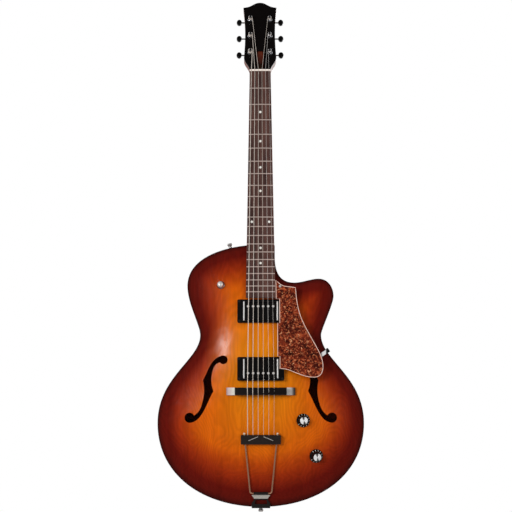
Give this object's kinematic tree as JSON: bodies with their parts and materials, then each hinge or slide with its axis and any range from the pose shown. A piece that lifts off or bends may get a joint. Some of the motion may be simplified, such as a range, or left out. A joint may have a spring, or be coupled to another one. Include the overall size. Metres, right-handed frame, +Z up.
{
  "type": "archtop electric guitar",
  "caption": "Hollow-body archtop electric guitar with one cutaway, f-holes, magnetic pickups, floating bridge, hinged tailpiece and geared tuners.",
  "frame": {"origin": "seat of the end strap button on the tail's outer face, on the centre line, halfway through the sides' depth", "axes": "+Z up along the body towards the headstock, +X to the treble side, +Y to the back; the playing face looks along -Y"},
  "size_m": [0.4064, 0.1299, 1.0483],
  "materials": {
    "burst_top": "gloss",
    "burst_back": "gloss",
    "burst_sides": "gloss",
    "inner_wood": "bare",
    "neck_wood": "gloss",
    "black_lacquer": "gloss",
    "fingerboard_wood": "satin",
    "bridge_wood": "satin",
    "fret_wire": "polished",
    "pearl": "pearly",
    "bone": "polished",
    "steel": "plain",
    "brass": "polished",
    "chrome": "polished",
    "wound_wire": "wound",
    "plain_wire": "polished",
    "black_plastic": "satin",
    "coil_wire": "wound",
    "tortoise": "gloss",
    "black_rubber": "matt"
  },
  "bodies": {
    "guitar": {"top_plate": "burst_top", "back_plate": "burst_back", "bass_side": "burst_sides", "treble_side": "burst_sides", "neck_block": "inner_wood", "tail_block": "inner_wood", "linings": "inner_wood", "tone_bars": "inner_wood", "neck": "neck_wood", "headstock_overlay": "black_lacquer", "fingerboard": "fingerboard_wood", "frets": "fret_wire", "position_dots": "pearl", "nut": "bone", "truss_rod": "steel", "truss_rod_nut": "brass", "tuner_housings": "chrome", "tuner_bushings": "chrome", "wound_strings": "wound_wire", "plain_strings": "plain_wire", "neck_pickup_ring": "black_plastic", "bridge_pickup_ring": "black_plastic", "neck_pickup_cover": "black_plastic", "bridge_pickup_cover": "black_plastic", "pickup_side_bars": "chrome", "pickup_pole_screws": "chrome", "pickup_coils": "coil_wire", "potentiometers": "steel", "toggle_switch": "chrome", "output_jack": "chrome", "jack_nut": "chrome", "bridge_base": "bridge_wood", "bridge_posts": "brass", "tailpiece_bracket": "chrome", "pickguard": "tortoise", "pickguard_bracket": "chrome", "pickguard_screw": "black_rubber", "strap_buttons": "chrome", "small_screws": "steel"},
    "tuner_button_1": {"tuner_button_1": "black_plastic"},
    "tuner_post_1": {"tuner_post_1": "chrome"},
    "tuner_button_2": {"tuner_button_2": "black_plastic"},
    "tuner_post_2": {"tuner_post_2": "chrome"},
    "tuner_button_3": {"tuner_button_3": "black_plastic"},
    "tuner_post_3": {"tuner_post_3": "chrome"},
    "tuner_button_4": {"tuner_button_4": "black_plastic"},
    "tuner_post_4": {"tuner_post_4": "chrome"},
    "tuner_button_5": {"tuner_button_5": "black_plastic"},
    "tuner_post_5": {"tuner_post_5": "chrome"},
    "tuner_button_6": {"tuner_button_6": "black_plastic"},
    "tuner_post_6": {"tuner_post_6": "chrome"},
    "volume": {"volume_knob": "black_plastic"},
    "tone": {"tone_knob": "black_plastic"},
    "toggle": {"toggle_lever": "chrome"},
    "saddle": {"bridge_saddle": "bridge_wood"},
    "bass_wheel": {"bass_thumbwheel": "brass"},
    "treble_wheel": {"treble_thumbwheel": "brass"},
    "tailpiece": {"tailpiece_wire": "chrome", "tailpiece_bar": "black_plastic"}
  },
  "joints": [
    {"name": "tuner_button_1_turn", "type": "hinge", "parent": "guitar", "child": "tuner_button_1", "pos_m": [-0.0435, 0.00822, 0.91749], "axis": [-1, 0, 0], "continuous": true},
    {"name": "tuner_post_1_turn", "type": "hinge", "parent": "guitar", "child": "tuner_post_1", "pos_m": [-0.02, 0.00666, 0.91196], "axis": [0, 0.9622, -0.2723], "continuous": true},
    {"name": "tuner_button_2_turn", "type": "hinge", "parent": "guitar", "child": "tuner_button_2", "pos_m": [-0.0435, 0.01909, 0.95589], "axis": [-1, 0, 0], "continuous": true},
    {"name": "tuner_post_2_turn", "type": "hinge", "parent": "guitar", "child": "tuner_post_2", "pos_m": [-0.02, 0.01752, 0.95035], "axis": [0, 0.9622, -0.2723], "continuous": true},
    {"name": "tuner_button_3_turn", "type": "hinge", "parent": "guitar", "child": "tuner_button_3", "pos_m": [-0.0435, 0.02995, 0.99428], "axis": [-1, 0, 0], "continuous": true},
    {"name": "tuner_post_3_turn", "type": "hinge", "parent": "guitar", "child": "tuner_post_3", "pos_m": [-0.02, 0.02839, 0.98875], "axis": [0, 0.9622, -0.2723], "continuous": true},
    {"name": "tuner_button_4_turn", "type": "hinge", "parent": "guitar", "child": "tuner_button_4", "pos_m": [0.0435, 0.02995, 0.99428], "axis": [1, 0, 0], "continuous": true},
    {"name": "tuner_post_4_turn", "type": "hinge", "parent": "guitar", "child": "tuner_post_4", "pos_m": [0.02, 0.02839, 0.98875], "axis": [0, 0.9622, -0.2723], "continuous": true},
    {"name": "tuner_button_5_turn", "type": "hinge", "parent": "guitar", "child": "tuner_button_5", "pos_m": [0.0435, 0.01909, 0.95589], "axis": [1, 0, 0], "continuous": true},
    {"name": "tuner_post_5_turn", "type": "hinge", "parent": "guitar", "child": "tuner_post_5", "pos_m": [0.02, 0.01752, 0.95035], "axis": [0, 0.9622, -0.2723], "continuous": true},
    {"name": "tuner_button_6_turn", "type": "hinge", "parent": "guitar", "child": "tuner_button_6", "pos_m": [0.0435, 0.00822, 0.91749], "axis": [1, 0, 0], "continuous": true},
    {"name": "tuner_post_6_turn", "type": "hinge", "parent": "guitar", "child": "tuner_post_6", "pos_m": [0.02, 0.00666, 0.91196], "axis": [0, 0.9622, -0.2723], "continuous": true},
    {"name": "volume_knob_turn", "type": "hinge", "parent": "guitar", "child": "volume", "pos_m": [0.0826, -0.0538, 0.1679], "axis": [0.082, -0.9966, -0.0027], "range_deg": [-150, 150]},
    {"name": "tone_knob_turn", "type": "hinge", "parent": "guitar", "child": "tone", "pos_m": [0.108, -0.04628, 0.0988], "axis": [0.1255, -0.9827, -0.1358], "range_deg": [-150, 150]},
    {"name": "toggle_lever_flip", "type": "hinge", "parent": "guitar", "child": "toggle", "pos_m": [-0.079, -0.04435, 0.434], "axis": [-0.9937, 0.1121, 0], "range_deg": [-12, 12]},
    {"name": "saddle_height", "type": "slide", "parent": "guitar", "child": "saddle", "axis": [0, 1, 0], "range_m": [0, 0.003]},
    {"name": "bass_thumbwheel_turn", "type": "hinge", "parent": "saddle", "child": "bass_wheel", "pos_m": [-0.037, -0.0654, 0.22438], "axis": [0, 1, 0], "range_deg": [0, 1350]},
    {"name": "treble_thumbwheel_turn", "type": "hinge", "parent": "saddle", "child": "treble_wheel", "pos_m": [0.037, -0.0654, 0.22438], "axis": [0, 1, 0], "range_deg": [0, 1350]},
    {"name": "tailpiece_hinge", "type": "hinge", "parent": "guitar", "child": "tailpiece", "pos_m": [0, -0.0452, 0.0266], "axis": [1, 0, 0], "range_deg": [-1, 3], "deforming": ["wound_strings", "plain_strings"]}
  ],
  "couplings": [
    {"joint": "tuner_post_1_turn", "follows": "tuner_button_1_turn", "ratio": 0.066667},
    {"joint": "tuner_post_2_turn", "follows": "tuner_button_2_turn", "ratio": 0.066667},
    {"joint": "tuner_post_3_turn", "follows": "tuner_button_3_turn", "ratio": 0.066667},
    {"joint": "tuner_post_4_turn", "follows": "tuner_button_4_turn", "ratio": 0.066667},
    {"joint": "tuner_post_5_turn", "follows": "tuner_button_5_turn", "ratio": 0.066667},
    {"joint": "tuner_post_6_turn", "follows": "tuner_button_6_turn", "ratio": 0.066667},
    {"joint": "bass_thumbwheel_turn", "follows": "saddle_height", "rad_per_m": 7853.9},
    {"joint": "treble_thumbwheel_turn", "follows": "saddle_height", "rad_per_m": 7853.9}
  ]
}
